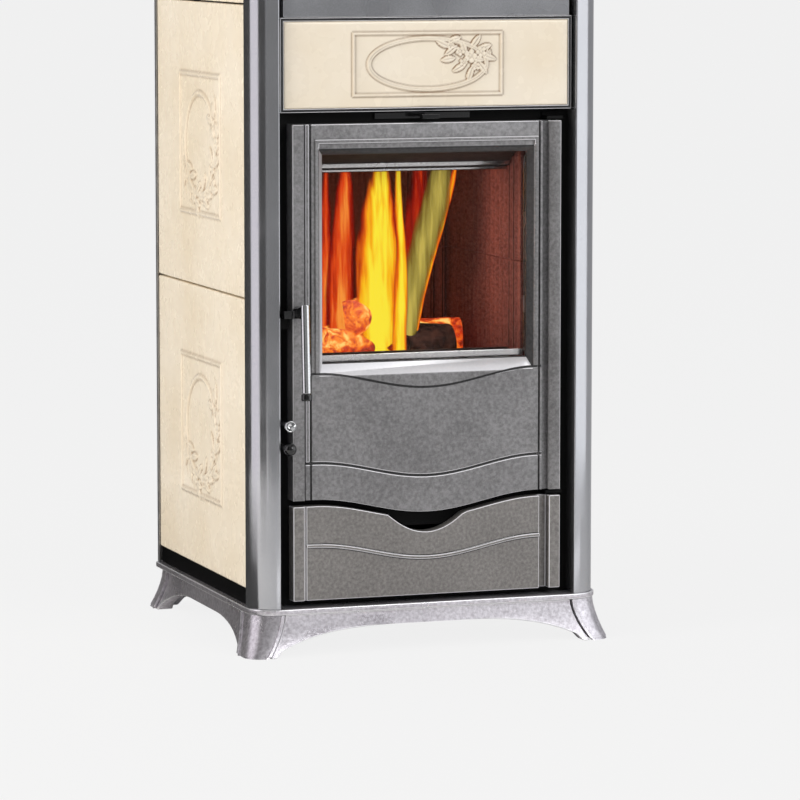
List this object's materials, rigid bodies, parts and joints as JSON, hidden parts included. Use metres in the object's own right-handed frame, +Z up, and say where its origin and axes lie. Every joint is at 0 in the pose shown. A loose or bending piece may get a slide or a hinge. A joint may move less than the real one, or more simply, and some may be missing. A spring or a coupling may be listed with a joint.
{
  "type": "tiled wood stove",
  "caption": "Free-standing wood stove clad in cream ceramic tiles, with a glazed cast door, a wave-edged drawer and splayed feet.",
  "frame": {"origin": "on the floor, under the middle of the whole stove with its handle and air inlet", "axes": "+Z up, the door faces -Y, +X to the right of someone who faces the door"},
  "size_m": [0.5438, 0.5672, 1.055],
  "materials": {
    "cast_iron": "grey painted casting with a fine sand-cast grain",
    "pale_cast_iron": "lighter metallic grey casting, coarse grain",
    "column_paint": "semi-gloss metallic grey paint",
    "black_steel": "matt black heat-resistant paint",
    "cream_glaze": "warm cream glaze, glossy",
    "steel": "brushed",
    "firebox_steel": "heat-tinted dark steel",
    "firebox_iron": "dark casting, ash dusted",
    "refractory": "ribbed refractory, smoked red-brown",
    "galvanised_sheet": "galvanised sheet",
    "black_enamel": "glossy black enamel",
    "bakelite": "polished black",
    "chrome": "polished",
    "glass": "clear heat-proof glass",
    "rope_seal": "braided glass-fibre rope"
  },
  "bodies": {
    "stove_body": {"base_frame": "pale_cast_iron", "foot_front_left": "pale_cast_iron", "foot_front_right": "pale_cast_iron", "foot_rear_left": "pale_cast_iron", "foot_rear_right": "pale_cast_iron", "column_left": "column_paint", "column_right": "column_paint", "tile_rail_left": "black_steel", "tile_rail_right": "black_steel", "side_tile_left_lower": "cream_glaze", "side_tile_left_middle": "cream_glaze", "side_tile_left_upper": "cream_glaze", "side_tile_right_lower": "cream_glaze", "side_tile_right_middle": "cream_glaze", "side_tile_right_upper": "cream_glaze", "front_plate": "black_steel", "front_band_tile": "cream_glaze", "band_carrier": "steel", "upper_front_panel": "column_paint", "firebox_wall_left": "firebox_steel", "firebox_wall_right": "firebox_steel", "firebox_wall_rear": "firebox_steel", "firebox_ash_floor": "firebox_steel", "firebox_top": "firebox_steel", "hearth_frame": "firebox_iron", "hearth_plate": "firebox_iron", "lining_left_lower": "refractory", "lining_left_upper": "refractory", "lining_right_lower": "refractory", "lining_right_upper": "refractory", "lining_rear_lower": "refractory", "lining_rear_upper": "refractory", "baffle_plate": "refractory", "log_retainer": "steel", "ash_pan": "galvanised_sheet", "drawer_runner_left": "galvanised_sheet", "drawer_runner_right": "galvanised_sheet", "top_plate": "cast_iron", "flue_collar": "cast_iron", "back_panel": "galvanised_sheet", "air_inlet": "galvanised_sheet", "hinge_bracket_top": "steel", "hinge_bracket_bottom": "steel", "latch_keeper": "black_steel"},
    "door": {"door_casting": "cast_iron", "door_glass": "glass", "glass_strip_left": "steel", "glass_strip_right": "steel", "door_gasket": "rope_seal"},
    "handle": {"latch_spindle": "black_enamel", "handle_rod": "chrome", "handle_end_cap": "bakelite"},
    "air_slide": {"air_slide": "black_enamel"},
    "primary_air": {"primary_air_rod": "steel", "primary_air_knob": "bakelite"},
    "grate_shaker": {"shaker_grate": "firebox_iron", "shaker_rod": "steel", "shaker_knob": "chrome"},
    "drawer": {"drawer_front": "cast_iron", "drawer_tray": "galvanised_sheet"}
  },
  "joints": [
    {"name": "door_hinge", "type": "hinge", "parent": "stove_body", "child": "door", "pos_m": [0.19, -0.21372, 0.46], "axis": [0, 0, 1], "range_deg": [0, 105]},
    {"name": "handle_turn", "type": "hinge", "parent": "door", "child": "handle", "pos_m": [-0.19, -0.22271, 0.478], "axis": [0, 1, 0], "range_deg": [0, 35]},
    {"name": "air_slide_travel", "type": "slide", "parent": "stove_body", "child": "air_slide", "axis": [1, 0, 0], "range_m": [-0.035, 0.035]},
    {"name": "primary_air_pull", "type": "slide", "parent": "stove_body", "child": "primary_air", "axis": [0, -1, 0], "range_m": [0, 0.03]},
    {"name": "grate_shaker_pull", "type": "slide", "parent": "stove_body", "child": "grate_shaker", "axis": [0, -1, 0], "range_m": [0, 0.02]},
    {"name": "drawer_slide", "type": "slide", "parent": "stove_body", "child": "drawer", "axis": [0, -1, 0], "range_m": [0, 0.26]}
  ]
}
